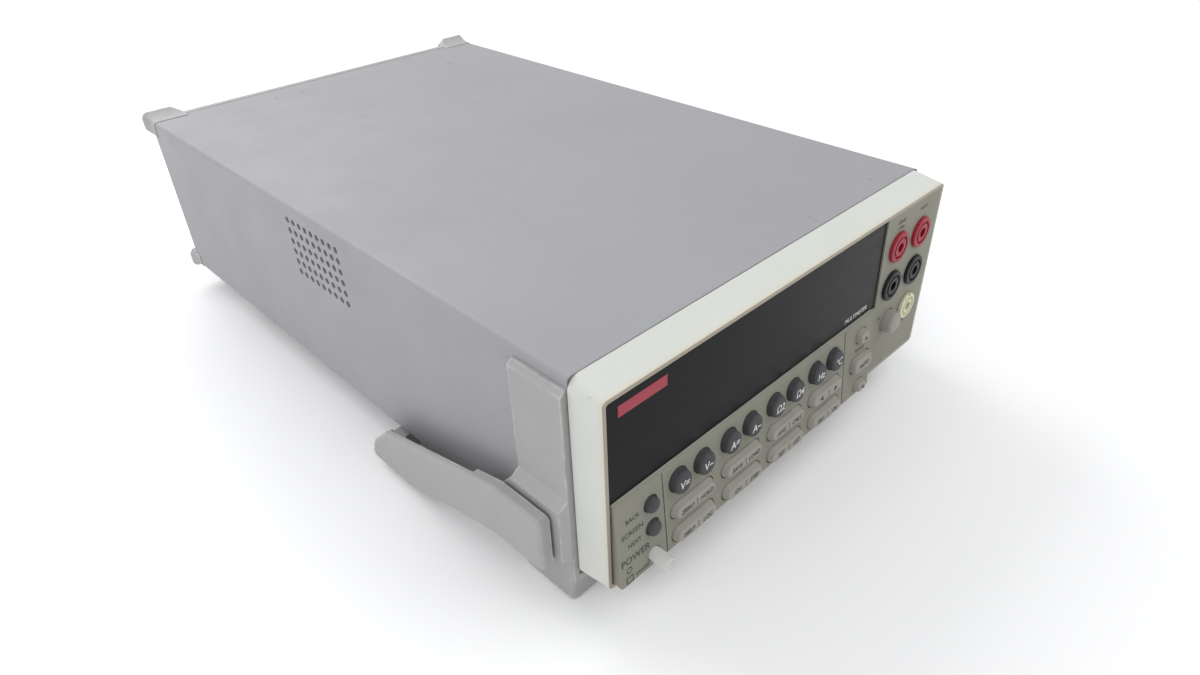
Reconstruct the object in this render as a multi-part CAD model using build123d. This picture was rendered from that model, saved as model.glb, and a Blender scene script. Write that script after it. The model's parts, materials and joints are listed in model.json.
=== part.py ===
"""Half-rack bench digital multimeter with a folding handle, drawn as an assembly.

Frame while drawing: x runs to the right across the front, y runs back from the front edge of
the bezel, and z runs up from the underside of the case. The finished pieces are moved so that
the meter stands on z = 0 with its origin under the middle of its overall length and width.
"""
from build123d import *
import os

# ---- Driving dimensions, millimetres -------------------------------------------------------
CASE_WIDTH = 213.0
CASE_HEIGHT = 89.0
FOOT_HEIGHT = 15.0          # standing surface to underside of the case
OVERALL_WIDTH = 238.0       # across the handle
OVERALL_REAR = 358.0        # tips of the rear corner bumpers
POWER_TIP = -12.0           # front end of the released power button
SMALL_GAP = 0.3             # room between moving pieces and their surroundings
RUNNING_GAP = 0.05          # radial room in a bearing

COVER_FRONT = 13.7
COVER_REAR = 350.5
COVER_WALL = 1.5
COVER_CORNER = 2.0
CASE_SIDE = CASE_WIDTH / 2
COVER_INSIDE = CASE_SIDE - COVER_WALL

VENT_HOLE = 3.1
VENT_PITCH = 5.2
VENT_COLUMNS = 9
VENT_ROWS = 6
VENT_FIRST_Y = 154.6
VENT_LOW_Z = 55.0

BEZEL_WIDTH = 214.0
BEZEL_FRONT_WIDTH = 211.2
BEZEL_FRONT_LOW = 2.6
BEZEL_FRONT_HIGH = 86.2
BEZEL_RIM = 1.4             # edge of the bezel seen from the front
PANEL_HALF_WIDTH = BEZEL_FRONT_WIDTH / 2 - BEZEL_RIM
PANEL_LOW = BEZEL_FRONT_LOW + BEZEL_RIM
PANEL_HIGH = BEZEL_FRONT_HIGH - BEZEL_RIM
PANEL_BACK = 2.5
PANEL_CORNER = 1.2
PANEL_CLEARANCE = 0.05

BLOCK_LEFT = -103.2
BLOCK_RIGHT = 57.3
BLOCK_TOP = 42.0
BLOCK_TOP_PROUD = 0.9
BLOCK_LOW = 4.3
BLOCK_LOW_PROUD = 4.5
BLOCK_BEVEL = 0.8           # sloping edge along the top of the block

WINDOW_HIGH = PANEL_HIGH - 0.1
WINDOW_RIGHT_HIGH = 58.8
WINDOW_RIGHT_LOW = 60.5
WINDOW_FACE = 0.7

KEY_FLANGE_FRONT = 2.8
KEY_FLANGE_BACK = 3.6
KEY_BACK = 5.0
KEY_LIP = 0.8               # how far a key's flange reaches past its opening
KEY_PROUD = 3.0

FUNCTION_KEY_WIDTH = 9.4
FUNCTION_KEY_HEIGHT = 9.8
FUNCTION_KEY_Z = 33.7
FUNCTION_PAIR_SPACING = 13.1
FUNCTION_PAIR_PITCH = 28.3
FUNCTION_FIRST_PAIR_X = -65.6

ROCKER_WIDTH = 23.4
ROCKER_HEIGHT = 7.0
ROCKER_FIRST_X = -65.6
ROCKER_PITCH = 28.5
ROCKER_ROWS_Z = (20.9, 10.0)
ROCKER_PROUD = 2.5
ROCKER_FLANGE_FRONT = 3.5
ROCKER_FLANGE_BACK = 4.3

RANGE_KEYS_X = 48.0
RANGE_STEP_WIDTH = 7.6
RANGE_STEP_HEIGHT = 6.4
RANGE_AUTO_WIDTH = 14.6
RANGE_AUTO_HEIGHT = 7.6

SIDE_KEY_DIAMETER = 6.4
SIDE_KEY_PROUD = 2.2
SIDE_KEY_X = -86.5
SIDE_KEYS_Z = (32.6, 22.1)

POWER_X = -87.0
POWER_Z = 9.8
POWER_RADIUS = 2.8
POWER_ROD_RADIUS = 1.6
POWER_ROD_REAR = 262.0

INPUTS_X = 74.0
INPUTS_Z = 29.3
INPUTS_RADIUS = 5.4
INPUTS_TIP = -5.0

JACK_SPACING = 19.05        # standard distance between banana jacks
JACK_COLUMN_X = 70.9
JACK_TOP_Z = 68.2
JACK_FLANGE_RADIUS = 7.1
JACK_BODY_RADIUS = 6.0
JACK_PROUD = 1.6
JACK_GROOVE = (5.2, 4.1)    # outer and inner radius of the ring moulded in the flange
CURRENT_JACK_GROOVE = (4.7, 3.5)
JACK_MOUTH_RADIUS = 2.2
JACK_SLEEVE_RADIUS = 3.2
JACK_SOCKET_RADIUS = 2.0    # takes a 4 mm banana plug
JACK_DEPTH = 24.0
CURRENT_JACK_FLANGE_RADIUS = 6.3
CURRENT_JACK_FACE = -0.2    # the turning current jack stays clear of the panel
JACK_CONTACT_INSET = 3.0    # plastic mouth in front of the metal sleeve

SWITCH_PAD_FRONT = 6.6
BOARD_FRONT = 8.6
BOARD_THICKNESS = 1.6

PIVOT_Y = 33.0
PIVOT_Z = 18.5
PIVOT_RADIUS = 7.0
PIVOT_PIN_TIP_X = 108.2

EAR_PLATE_X = 109.5
EAR_BOSS_X = 112.6
FOOT_SIDE_X = 108.6
FOOT_INNER_X = 84.0
FOOT_FRONT_Y = 16.4
FOOT_REAR_Y = 44.0
FOOT_PAD_PROUD = 0.6
FOOT_PAD_RADIUS = 7.0
FEET_X = 96.0
REAR_FEET_X = 83.0
REAR_FEET_Y = 306.0
REAR_FOOT_SIZE = 24.0

HANDLE_SIDE_X = OVERALL_WIDTH / 2
HANDLE_GAP_X = 113.8        # inner face of an arm beside its pivot
HANDLE_BAR_X = 110.4        # inner face of an arm where it meets the grip bar
HANDLE_BAR_FRONT_Y = 127.6
HANDLE_BAR_TOP_Z = -2.6
HANDLE_WALL = 3.0           # outer wall left where the arms are hollowed
HANDLE_POCKET_Y = (60.0, 131.0)
HANDLE_POCKET_FLOOR = -8.6

CHASSIS_FRONT = 20.0
CHASSIS_SHEET = 1.2
CHASSIS_FLOOR = COVER_WALL + 0.1 + CHASSIS_SHEET
CHASSIS_WALL_TOP = 30.0
MAIN_BOARD_LOW = 8.0

REAR_PANEL_FRONT = 344.5
REAR_PANEL_THICKNESS = 1.5
REAR_PANEL_BACK = REAR_PANEL_FRONT + REAR_PANEL_THICKNESS
REAR_BEZEL_BACK = 355.0
REAR_BEZEL_SIDE_INSET = 1.4
REAR_BEZEL_TOP_INSET = 0.0
REAR_OPENING_X = 101.5
REAR_OPENING_Z = 39.5
BUMPER_FRONT = 346.5        # where the corner bumpers begin to flare out of the sleeve
BUMPER_FLARE_X = 2.0
BUMPER_FLARE_Z = 3.4
BUMPER_REACH_X = 19.0
BUMPER_REACH_Z = 8.0

# Centres of what stands in the rear panel, as x and z.
MAINS_PLACE = (-76.0, 27.0)
BUS_PLACE = (-58.0, 68.5)
SERIAL_PLACE = (-26.0, 22.0)
REAR_JACK_FIRST = (34.0, 42.0)
OPTION_PLACE = (46.0, 70.0)

MAINS_BODY_WIDTH = 43.0
MAINS_BODY_HEIGHT = 36.0
MAINS_FACE = REAR_PANEL_BACK + 3.0
MAINS_INLET_DROP = -6.5
MAINS_INLET_DEPTH = 17.0
DRAWER_RISE = 10.0
DRAWER_WIDTH = 25.0
DRAWER_HEIGHT = 11.0
BUS_SHELL_WIDTH = 58.0
BUS_SHELL_HEIGHT = 14.0
SERIAL_SHELL_WIDTH = 17.5
SERIAL_SHELL_HEIGHT = 9.4
OPTION_WIDTH = 108.0
OPTION_HEIGHT = 24.0

# What stands inside.
BOARD_X = (-38.0, 100.0)
BOARD_Y = (84.0, 306.0)
TRANSFORMER_PLACE = (-61.0, 222.0, CHASSIS_FLOOR)
TRANSFORMER_SIZE = (60.0, 50.0, 24.0)

FUNCTION_KEY_NAMES = ("dc_volts", "ac_volts", "dc_current", "ac_current",
                      "ohms_two_wire", "ohms_four_wire", "frequency", "temperature")

# The origin is under the middle of the overall length.
FRONT_Y = -(OVERALL_REAR + POWER_TIP) / 2
PLACE = Location((0, FRONT_Y, FOOT_HEIGHT))


# ---- Small drawing helpers -----------------------------------------------------------------
def slab(outline, front, back):
    """Extrude an outline drawn in x and z from y = front back to y = back."""
    face = Plane.XZ.offset(-front) * outline
    return extrude(face, amount=back - front, dir=(0, 1, 0))


def at(x, z, outline):
    """Put an outline's own origin at x, z."""
    return Pos(x, z) * outline


def block(x_range, y_range, z_range):
    """A box between two values on each axis."""
    size = [high - low for low, high in (x_range, y_range, z_range)]
    middle = [(high + low) / 2 for low, high in (x_range, y_range, z_range)]
    return Pos(*middle) * Box(*size)


def tube(x, z, front, back, outer, inner=0.0):
    """A round bar along y, or a tube if inner is given."""
    solid = slab(at(x, z, Circle(outer)), front, back)
    if inner > 0:
        solid -= slab(at(x, z, Circle(inner)), front - 1, back + 1)
    return solid


def stadium(width, height):
    """A rectangle with fully rounded short ends, lying along its longer side."""
    if width >= height:
        return SlotOverall(width, height)
    return SlotOverall(height, width, rotation=90)


def mirrored(solid):
    """The same piece on the other side of the case."""
    return mirror(solid, about=Plane.YZ)


def both_sides(solid):
    """A piece and its mirror image as one group."""
    return Compound(children=[solid, mirrored(solid)])


def block_face_y(z):
    """Front surface of the sloping key block at height z."""
    share = (BLOCK_TOP - z) / (BLOCK_TOP - BLOCK_LOW)
    return -(BLOCK_TOP_PROUD + share * (BLOCK_LOW_PROUD - BLOCK_TOP_PROUD))


# ---- Case ------------------------------------------------------------------------------------
def case_cover():
    """Sheet-metal sleeve that slides over the chassis, with vent holes in both sides."""
    middle = CASE_HEIGHT / 2
    outside = at(0, middle, RectangleRounded(CASE_WIDTH, CASE_HEIGHT, COVER_CORNER))
    hollow = at(0, middle, RectangleRounded(CASE_WIDTH - 2 * COVER_WALL,
                                            CASE_HEIGHT - 2 * COVER_WALL, COVER_CORNER / 2))
    sleeve = slab(outside - hollow, COVER_FRONT, COVER_REAR)
    drill = Rot(0, 90, 0) * Cylinder(VENT_HOLE / 2, CASE_WIDTH + 2)
    holes = [Pos(0, VENT_FIRST_Y + column * VENT_PITCH, VENT_LOW_Z + row * VENT_PITCH) * drill
             for column in range(VENT_COLUMNS) for row in range(VENT_ROWS)]
    return sleeve - holes


def chassis():
    """Folded tray that carries the boards, with a low wall down each side and board posts."""
    half_width = COVER_INSIDE - 0.2
    tray = block((-half_width, half_width), (CHASSIS_FRONT, REAR_PANEL_FRONT),
                 (COVER_WALL + 0.1, CHASSIS_WALL_TOP))
    tray = fillet(tray.edges().filter_by(Axis.Y).sort_by(Axis.Z)[:2], 1.5)
    inner = half_width - CHASSIS_SHEET
    tray -= block((-inner, inner), (0, COVER_REAR), (CHASSIS_FLOOR, CASE_HEIGHT))
    for x in (BOARD_X[0] + 6, BOARD_X[1] - 6):
        for y in (BOARD_Y[0] + 6, sum(BOARD_Y) / 2, BOARD_Y[1] - 6):
            post = Cylinder(3.0, MAIN_BOARD_LOW - CHASSIS_FLOOR)
            tray += Pos(x, y, (MAIN_BOARD_LOW + CHASSIS_FLOOR) / 2) * post
    return tray


def front_bezel():
    """Off-white frame that tapers from the case to a thin rim round the front panel."""
    rear = at(0, CASE_HEIGHT / 2, RectangleRounded(BEZEL_WIDTH, CASE_HEIGHT, 5.0))
    high, low = BEZEL_FRONT_HIGH, BEZEL_FRONT_LOW
    front = at(0, (high + low) / 2, RectangleRounded(BEZEL_FRONT_WIDTH, high - low, 2.0))
    shell = loft([Plane.XZ.offset(-COVER_FRONT) * rear, Plane.XZ * front])
    lip_clearance = 0.15
    lip_half = COVER_INSIDE - lip_clearance
    lip_height = CASE_HEIGHT - 2 * COVER_WALL - 2 * lip_clearance
    lip = slab(at(0, CASE_HEIGHT / 2, RectangleRounded(2 * lip_half, lip_height, 1.0)),
               COVER_FRONT, COVER_FRONT + 5)
    window = at(0, (PANEL_HIGH + PANEL_LOW) / 2,
                RectangleRounded(2 * PANEL_HALF_WIDTH, PANEL_HIGH - PANEL_LOW, PANEL_CORNER))
    opening = slab(window, -1, COVER_FRONT + 6)
    return shell + lip - opening


# ---- Front panel, window and display ---------------------------------------------------------
def panel_outline():
    """Everything inside the bezel's rim."""
    width = 2 * (PANEL_HALF_WIDTH - PANEL_CLEARANCE)
    height = PANEL_HIGH - PANEL_LOW - 2 * PANEL_CLEARANCE
    return at(0, (PANEL_HIGH + PANEL_LOW) / 2, RectangleRounded(width, height, PANEL_CORNER))


def window_outline():
    """Display window, whose right edge leans out towards the bottom."""
    left = -(PANEL_HALF_WIDTH - 0.1)
    corners = [(left, BLOCK_TOP + 0.1), (WINDOW_RIGHT_LOW - 0.1, BLOCK_TOP + 0.1),
               (WINDOW_RIGHT_HIGH - 0.1, WINDOW_HIGH), (left, WINDOW_HIGH)]
    return make_face(Polyline(*corners, close=True))


def key_block():
    """Sloping block below the window that carries the keys."""
    bevel_z = BLOCK_TOP - BLOCK_BEVEL
    side = [(PANEL_BACK, BLOCK_TOP), (0.5, BLOCK_TOP), (0.5, BLOCK_TOP + 0.6),
            (block_face_y(bevel_z), bevel_z), (-BLOCK_LOW_PROUD, BLOCK_LOW),
            (0.3, PANEL_LOW + 0.3), (PANEL_BACK, PANEL_LOW + 0.3)]
    profile = Plane.YZ.offset(BLOCK_LEFT) * make_face(Polyline(*side, close=True))
    solid = extrude(profile, amount=BLOCK_RIGHT - BLOCK_LEFT)
    face = solid.faces().filter_by(lambda f: abs(f.normal_at().Y) > 0.9).sort_by(Axis.Y)[0]
    rim = face.edges().sort_by(Axis.Z)
    return fillet(rim[:3], 1.0)


def key_openings():
    """Every opening in the key panel, as outlines with room for what moves in them."""
    grow = 2 * SMALL_GAP
    holes = []
    for x in function_key_places():
        holes.append(at(x, FUNCTION_KEY_Z, stadium(FUNCTION_KEY_WIDTH + grow,
                                                   FUNCTION_KEY_HEIGHT + grow)))
    for x, z in rocker_places():
        holes.append(at(x, z, stadium(ROCKER_WIDTH + grow + 0.3, ROCKER_HEIGHT + grow)))
    for z, width, height in range_key_sizes():
        holes.append(at(RANGE_KEYS_X, z, RectangleRounded(width + grow, height + grow, 2.4)))
    for z in SIDE_KEYS_Z:
        holes.append(at(SIDE_KEY_X, z, Circle(SIDE_KEY_DIAMETER / 2 + SMALL_GAP)))
    holes.append(at(POWER_X, POWER_Z, Circle(POWER_RADIUS + SMALL_GAP)))
    return holes


def key_panel():
    """Moulding under the window with an opening for every key, divided by two grooves."""
    panel = key_block()
    for x in (-80.2, 35.0):
        groove_depth = 0.5
        face = [(block_face_y(BLOCK_TOP) - 1, BLOCK_TOP + 0.5),
                (block_face_y(BLOCK_TOP) + groove_depth, BLOCK_TOP + 0.5),
                (block_face_y(BLOCK_LOW) + groove_depth, BLOCK_LOW - 1),
                (block_face_y(BLOCK_LOW) - 1, BLOCK_LOW - 1)]
        cutter = Plane.YZ.offset(x - 0.35) * make_face(Polyline(*face, close=True))
        panel -= extrude(cutter, amount=0.7)
    for outline in key_openings():
        panel -= slab(outline, -8, PANEL_BACK + 1)
    return panel


def input_panel():
    """Flat plate to the right of the keys and window, which carries the jacks."""
    reach = PANEL_HALF_WIDTH + 1
    corners = [(BLOCK_RIGHT + 0.1, 0), (BLOCK_RIGHT + 0.1, BLOCK_TOP),
               (WINDOW_RIGHT_LOW, BLOCK_TOP), (WINDOW_RIGHT_HIGH, WINDOW_HIGH + 0.1),
               (WINDOW_RIGHT_HIGH, CASE_HEIGHT), (reach, CASE_HEIGHT), (reach, 0)]
    side = make_face(Polyline(*corners, close=True))
    plate = slab(panel_outline(), 0, PANEL_BACK) & slab(side, -1, PANEL_BACK + 1)
    holes = [at(INPUTS_X, INPUTS_Z, Circle(INPUTS_RADIUS + SMALL_GAP))]
    holes += [at(x, z, Circle(JACK_BODY_RADIUS)) for x, z in jack_places() + [amps_place()]]
    return plate - [slab(hole, -1, PANEL_BACK + 1) for hole in holes]


def display_window():
    """Smoked acrylic pane over the display."""
    return slab(window_outline(), WINDOW_FACE, PANEL_BACK + 0.4)


def display_tube():
    """Flat glass vacuum-fluorescent display behind the window."""
    glass = slab(at(-22, 63, RectangleRounded(150, 36, 1.0)), 3.4, 8.4)
    pip = tube(56, 63, 4.9, 6.9, 1.6)
    return glass + pip


def board_hole(radius):
    """Hole for the power button's stem."""
    return slab(at(POWER_X, POWER_Z, Circle(radius)), 0, 30)


def switch_pad():
    """Elastomer sheet whose domes return the keys and close their contacts."""
    sheet = slab(at(-18, 22.5, Rectangle(150, 33)), SWITCH_PAD_FRONT, BOARD_FRONT)
    return sheet - board_hole(POWER_RADIUS + 0.6)


def display_board():
    """Upright circuit board that carries the display and the key contacts."""
    board = slab(at(-21.5, 44.3, Rectangle(162, 78)), BOARD_FRONT, BOARD_FRONT + BOARD_THICKNESS)
    return board - board_hole(POWER_RADIUS + 0.6)


# ---- Keys ------------------------------------------------------------------------------------
def function_key_places():
    """Eight round keys in four pairs."""
    half = FUNCTION_PAIR_SPACING / 2
    centres = [FUNCTION_FIRST_PAIR_X + pair * FUNCTION_PAIR_PITCH for pair in range(4)]
    return [centre + side * half for centre in centres for side in (-1, 1)]


def rocker_places():
    """Eight two-way keys in four columns and two rows, top row first."""
    columns = [ROCKER_FIRST_X + column * ROCKER_PITCH for column in range(4)]
    return [(x, z) for z in ROCKER_ROWS_Z for x in columns]


def range_key_sizes():
    """Height of centre, width and height of the up, auto and down range keys."""
    return [(34.4, RANGE_STEP_WIDTH, RANGE_STEP_HEIGHT),
            (21.2, RANGE_AUTO_WIDTH, RANGE_AUTO_HEIGHT),
            (9.0, RANGE_STEP_WIDTH, RANGE_STEP_HEIGHT - 1.0)]


def key_stem(outline, flange, face_y, flange_front, flange_back):
    """Straight key body with a flange behind the panel and a foot over the switch pad."""
    stem = slab(outline, face_y, KEY_BACK)
    return stem + slab(flange, flange_front, flange_back)


def soften_front(solid, radius):
    """Round the edge round a key's front face."""
    return fillet(solid.faces().sort_by(Axis.Y)[0].edges(), radius)


def function_key(x):
    """Dark oval key for one measuring function."""
    grow = 2 * KEY_LIP
    outline = at(x, FUNCTION_KEY_Z, stadium(FUNCTION_KEY_WIDTH, FUNCTION_KEY_HEIGHT))
    flange = at(x, FUNCTION_KEY_Z, stadium(FUNCTION_KEY_WIDTH + grow, FUNCTION_KEY_HEIGHT + grow))
    face_y = block_face_y(FUNCTION_KEY_Z) - KEY_PROUD
    key = key_stem(outline, flange, face_y, KEY_FLANGE_FRONT, KEY_FLANGE_BACK)
    return soften_front(key, 1.0)


def rocker_key(x, z):
    """Wide two-way key with sloping sides that tips left or right about its middle."""
    base_y = block_face_y(z) - 0.4
    face_y = block_face_y(z) - ROCKER_PROUD
    outline = at(x, z, stadium(ROCKER_WIDTH, ROCKER_HEIGHT))
    flange = at(x, z, stadium(ROCKER_WIDTH + 1.4, ROCKER_HEIGHT + 1.4))
    key = slab(outline, base_y, ROCKER_FLANGE_FRONT)
    key += slab(flange, ROCKER_FLANGE_FRONT, ROCKER_FLANGE_BACK)
    top = at(x, z, stadium(ROCKER_WIDTH - 2.6, ROCKER_HEIGHT - 2.4))
    crown = loft([Plane.XZ.offset(-base_y) * outline, Plane.XZ.offset(-face_y) * top])
    key += crown
    return soften_front(key, 0.5)


def range_key(z, width, height):
    """Soft rectangular key of the range column."""
    grow = 2 * KEY_LIP
    outline = at(RANGE_KEYS_X, z, RectangleRounded(width, height, 2.2))
    flange = at(RANGE_KEYS_X, z, RectangleRounded(width + grow, height + grow, 2.8))
    face_y = block_face_y(z) - ROCKER_PROUD
    key = key_stem(outline, flange, face_y, KEY_FLANGE_FRONT, KEY_FLANGE_BACK)
    return soften_front(key, 0.9)


def side_key(z):
    """Small round key beside the window's lower left corner."""
    outline = at(SIDE_KEY_X, z, Circle(SIDE_KEY_DIAMETER / 2))
    flange = at(SIDE_KEY_X, z, Circle(SIDE_KEY_DIAMETER / 2 + KEY_LIP))
    face_y = block_face_y(z) - SIDE_KEY_PROUD
    key = key_stem(outline, flange, face_y, KEY_FLANGE_FRONT, KEY_FLANGE_BACK)
    return soften_front(key, 0.8)


def power_button():
    """Round push button, shown released."""
    button = tube(POWER_X, POWER_Z, POWER_TIP, 12.0, POWER_RADIUS)
    button = soften_front(button, 0.5)
    return button - tube(POWER_X, POWER_Z, 4.0, 13.0, POWER_ROD_RADIUS)


def power_rod():
    """Long rod that carries the button's stroke to the switch at the back."""
    return tube(POWER_X, POWER_Z, 4.0, POWER_ROD_REAR, POWER_ROD_RADIUS)


def power_switch():
    """Mains switch body with a bore that the rod's end slides in."""
    case = block((-94.0, -80.0), (254.0, 282.0), (CHASSIS_FLOOR, 17.0))
    return case - tube(POWER_X, POWER_Z, 250.0, 270.0, POWER_ROD_RADIUS + SMALL_GAP)


def inputs_button():
    """Front and rear input selector, a domed push button on a square rod."""
    cap = tube(INPUTS_X, INPUTS_Z, INPUTS_TIP, 8.0, INPUTS_RADIUS)
    cap = soften_front(cap, 1.6)
    return cap + tube(INPUTS_X, INPUTS_Z, 8.0, 44.0, 2.0)


def inputs_switch():
    """Multi-pole changeover switch behind the selector button."""
    case = block((67.0, 81.0), (36.0, 74.0), (MAIN_BOARD_LOW + BOARD_THICKNESS, 36.0))
    return case - tube(INPUTS_X, INPUTS_Z, 30.0, 50.0, 2.0 + SMALL_GAP)


# ---- Banana jacks ----------------------------------------------------------------------------
def jack_places():
    """Sense high, input high, sense low and input low."""
    columns = (JACK_COLUMN_X, JACK_COLUMN_X + JACK_SPACING)
    rows = (JACK_TOP_Z, JACK_TOP_Z - JACK_SPACING)
    return [(x, z) for z in rows for x in columns]


def amps_place():
    """Current jack under the right-hand column."""
    return (JACK_COLUMN_X + JACK_SPACING, JACK_TOP_Z - 2 * JACK_SPACING)


def jack_body(x, z, face=0.0, facing=-1, flange_radius=JACK_FLANGE_RADIUS, groove=JACK_GROOVE):
    """Insulated jack: flange with a ring moulded in its face, and a barrel through the panel.

    face is the panel surface it stands on, and facing is -1 for the front or 1 for the rear.
    """
    def span(start, end, outer, inner=0.0):
        ends = sorted((face + facing * start, face + facing * end))
        return tube(x, z, ends[0], ends[1], outer, inner)

    flange = span(JACK_PROUD, 0, flange_radius)
    outer_edge = flange.edges().sort_by(Axis.Y)
    rim = outer_edge[0] if facing < 0 else outer_edge[-1]
    flange = fillet(rim, 0.7)
    flange -= span(JACK_PROUD + 0.1, JACK_PROUD - 0.7, *groove)
    barrel = span(0, -JACK_DEPTH, JACK_BODY_RADIUS - RUNNING_GAP)
    mouth = span(JACK_PROUD + 1, -JACK_CONTACT_INSET, JACK_MOUTH_RADIUS)
    sleeve_hole = span(-JACK_CONTACT_INSET, -JACK_DEPTH - 1, JACK_SLEEVE_RADIUS)
    return flange + barrel - mouth - sleeve_hole


def jack_contact(x, z, face=0.0, facing=-1):
    """Metal sleeve that a 4 mm plug enters, with a solder tag at its end."""
    start, end = face - facing * JACK_CONTACT_INSET, face - facing * (JACK_DEPTH + 2)
    low, high = sorted((start, end))
    sleeve = tube(x, z, low, high, JACK_SLEEVE_RADIUS, JACK_SOCKET_RADIUS)
    tag_low, tag_high = sorted((end, end - facing * 4.0))
    tag = block((x - 0.5, x + 0.5), (tag_low, tag_high), (z - 3.0, z - 2.0))
    return sleeve + tag


def current_jack():
    """Bayonet jack that holds the current fuse, with two notches for turning it."""
    x, z = amps_place()
    body = jack_body(x, z, CURRENT_JACK_FACE, -1, CURRENT_JACK_FLANGE_RADIUS, CURRENT_JACK_GROOVE)
    for side in (-1, 1):
        body -= block((x - 1.2, x + 1.2), (-JACK_PROUD - 1, -0.8),
                      sorted((z + side * 5.5, z + side * 9.0)))
    return body


def current_contact():
    """Metal sleeve of the current jack, which has no tag because the fuse stands behind it."""
    x, z = amps_place()
    return tube(x, z, CURRENT_JACK_FACE + JACK_CONTACT_INSET, JACK_DEPTH, JACK_SLEEVE_RADIUS,
                JACK_SOCKET_RADIUS)


def current_fuse():
    """Ceramic fuse held behind the current jack."""
    x, z = amps_place()
    return tube(x, z, JACK_DEPTH, JACK_DEPTH + 20, 2.5)


# ---- Ears, handle and feet -------------------------------------------------------------------
def left_ear():
    """Moulding on the side of the case: a flat plate, the pivot boss and the front foot."""
    top_z = 84.4
    plate = block((-EAR_PLATE_X, -CASE_SIDE), (14.4, 40.0), (30.0, top_z))
    top_edge = plate.edges().filter_by(Axis.Y).sort_by(lambda edge: edge.center().Z - edge.center().X)
    plate = chamfer(top_edge[-1], 2.0)
    side = [(14.4, 38.5), (40.0, 38.5), (41.5, 34.0), (48.0, 27.0), (48.0, 9.5), (14.4, 9.5)]
    boss_face = Plane.YZ.offset(-EAR_BOSS_X) * make_face(Polyline(*side, close=True))
    boss = extrude(boss_face, amount=EAR_BOSS_X - CASE_SIDE)
    slope = [(EAR_BOSS_X + 1, 39.5), (EAR_PLATE_X, 38.6), (EAR_BOSS_X + 0.1, 33.5),
             (EAR_BOSS_X + 1, 33.5)]
    wedge = Plane.XZ.offset(-10) * make_face(Polyline(*[(-x, z) for x, z in slope], close=True))
    boss -= extrude(wedge, amount=45, dir=(0, 1, 0))
    corner = [(-EAR_BOSS_X - 1, 14.0), (-EAR_BOSS_X - 1, 16.2), (-EAR_BOSS_X, 16.2),
              (-EAR_PLATE_X, 14.4), (-EAR_PLATE_X, 14.0)]
    boss -= extrude(make_face(Polyline(*corner, close=True)), amount=60)
    foot = block((-FOOT_SIDE_X, -FOOT_INNER_X), (FOOT_FRONT_Y, FOOT_REAR_Y),
                 (-FOOT_HEIGHT + FOOT_PAD_PROUD, 0))
    foot = fillet(foot.edges().filter_by(Axis.Z), 2.0)
    foot += block((-FOOT_SIDE_X, -CASE_SIDE), (14.4, FOOT_REAR_Y - 2), (-1, 9.6))
    foot += block((-FOOT_SIDE_X, -FOOT_INNER_X), (14.4, FOOT_FRONT_Y + 2), (-3, -0.1))
    ear = plate + boss + foot
    ear -= tube_x(-EAR_BOSS_X - 1, -PIVOT_PIN_TIP_X + 0.3, PIVOT_RADIUS + RUNNING_GAP)
    return ear - pad_recess(-FEET_X, 30.0)


def tube_x(start, end, radius):
    """A round bar along x on the handle's pivot line."""
    bar = Plane.YZ.offset(start) * at(PIVOT_Y, PIVOT_Z, Circle(radius))
    return extrude(bar, amount=end - start)


def pad_recess(x, y):
    """Pocket under a foot for its rubber pad."""
    floor = -FOOT_HEIGHT + FOOT_PAD_PROUD
    return Pos(x, y, floor + 0.9) * Cylinder(FOOT_PAD_RADIUS + 0.1, 1.9)


def foot_pad(x, y):
    """Rubber pad that stands on the bench."""
    height = FOOT_PAD_PROUD + 1.8
    return Pos(x, y, -FOOT_HEIGHT + height / 2) * Cylinder(FOOT_PAD_RADIUS, height)


def foot_pads():
    """Pads of the two front and two rear feet."""
    left = [foot_pad(-FEET_X, 30.0), foot_pad(-REAR_FEET_X, REAR_FEET_Y)]
    return Compound(children=left + [mirrored(pad) for pad in left])


def rear_feet():
    """Two feet screwed under the back of the case."""
    half = REAR_FOOT_SIZE / 2
    foot = block((-REAR_FEET_X - half, -REAR_FEET_X + half), (REAR_FEET_Y - half, REAR_FEET_Y + half),
                 (-FOOT_HEIGHT + FOOT_PAD_PROUD, 0))
    foot = fillet(foot.edges().filter_by(Axis.Z), 2.5)
    return both_sides(foot - pad_recess(-REAR_FEET_X, REAR_FEET_Y))


def handle_profile():
    """Side view of the folded handle: level at the pivot, then falling to the grip bar."""
    corners = [(19.6, 6.0), (19.6, 31.0), (44.5, 31.0), (122.0, 10.2), (134.6, -1.6),
               (137.4, -9.2), (135.0, -11.6), (107.0, -11.2), (74.0, -1.2), (46.0, 6.0)]
    radii = [2.5, 2.0, 12.0, 6.0, 5.0, 2.6, 2.0, 25.0, 25.0, 12.0]
    return make_face(FilletPolyline(*corners, radius=radii, close=True))


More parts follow.
